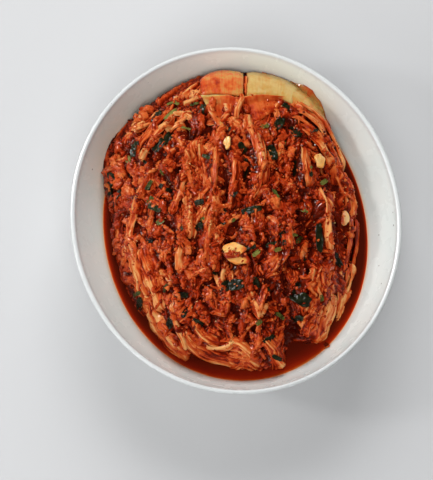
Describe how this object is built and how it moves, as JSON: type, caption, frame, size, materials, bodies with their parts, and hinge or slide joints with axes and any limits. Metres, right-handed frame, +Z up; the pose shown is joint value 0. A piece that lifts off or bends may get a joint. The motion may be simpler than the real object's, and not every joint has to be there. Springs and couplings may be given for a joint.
{
  "type": "bowl of whole-cabbage kimchi",
  "caption": "Half a head of napa cabbage kimchi, cut side down in red broth, served in an oval speckled stoneware bowl.",
  "frame": {"origin": "on the table, under the middle of the bowl's rim", "axes": "+Z up, +Y towards the root end of the cabbage, +X to the right of someone facing that way"},
  "size_m": [0.257, 0.2782, 0.0855],
  "materials": {
    "stoneware": "satin off-white glaze with fine dark specks",
    "broth": "clear dark red liquid, orange where shallow",
    "chili_heap": "wet chili paste with radish strips, flakes and leaf folds",
    "leaf": "wet translucent orange-red leaf with lengthwise veins",
    "stem": "wet pale yellow stem with orange stains",
    "garlic": "pale cream slice stained with chili",
    "green": "dark wet mustard green"
  },
  "bodies": {
    "root": {"bowl": "stoneware", "broth": "broth", "kimchi_heap": "chili_heap", "left_long_leaf": "leaf", "left_fan_leaf": "leaf", "upper_left_leaf": "leaf", "left_rib": "leaf", "left_rib_tip": "leaf", "middle_rib": "leaf", "centre_rib": "leaf", "right_upper_rib": "leaf", "right_rib": "leaf", "far_right_rib": "leaf", "centre_right_strip": "leaf", "outer_page_a": "leaf", "outer_page_b": "leaf", "outer_low_page": "leaf", "right_edge_strip": "leaf", "ruffled_leaf": "leaf", "bottom_bundle": "leaf", "bottom_bundle_edge": "leaf", "bottom_tip": "leaf", "bottom_left_leaf": "leaf", "bottom_left_rib": "leaf", "left_small_leaf": "leaf", "cupped_leaf": "leaf", "stem_slab_left": "stem", "stem_slab_right": "stem", "stem_slab_corner": "stem", "garlic_1": "garlic", "garlic_2": "garlic", "garlic_3": "garlic", "garlic_4": "garlic", "garlic_5": "garlic", "green_1": "green", "green_2": "green", "green_3": "green", "green_4": "green", "green_5": "green", "green_6": "green", "green_7": "green", "green_8": "green"}
  },
  "joints": []
}
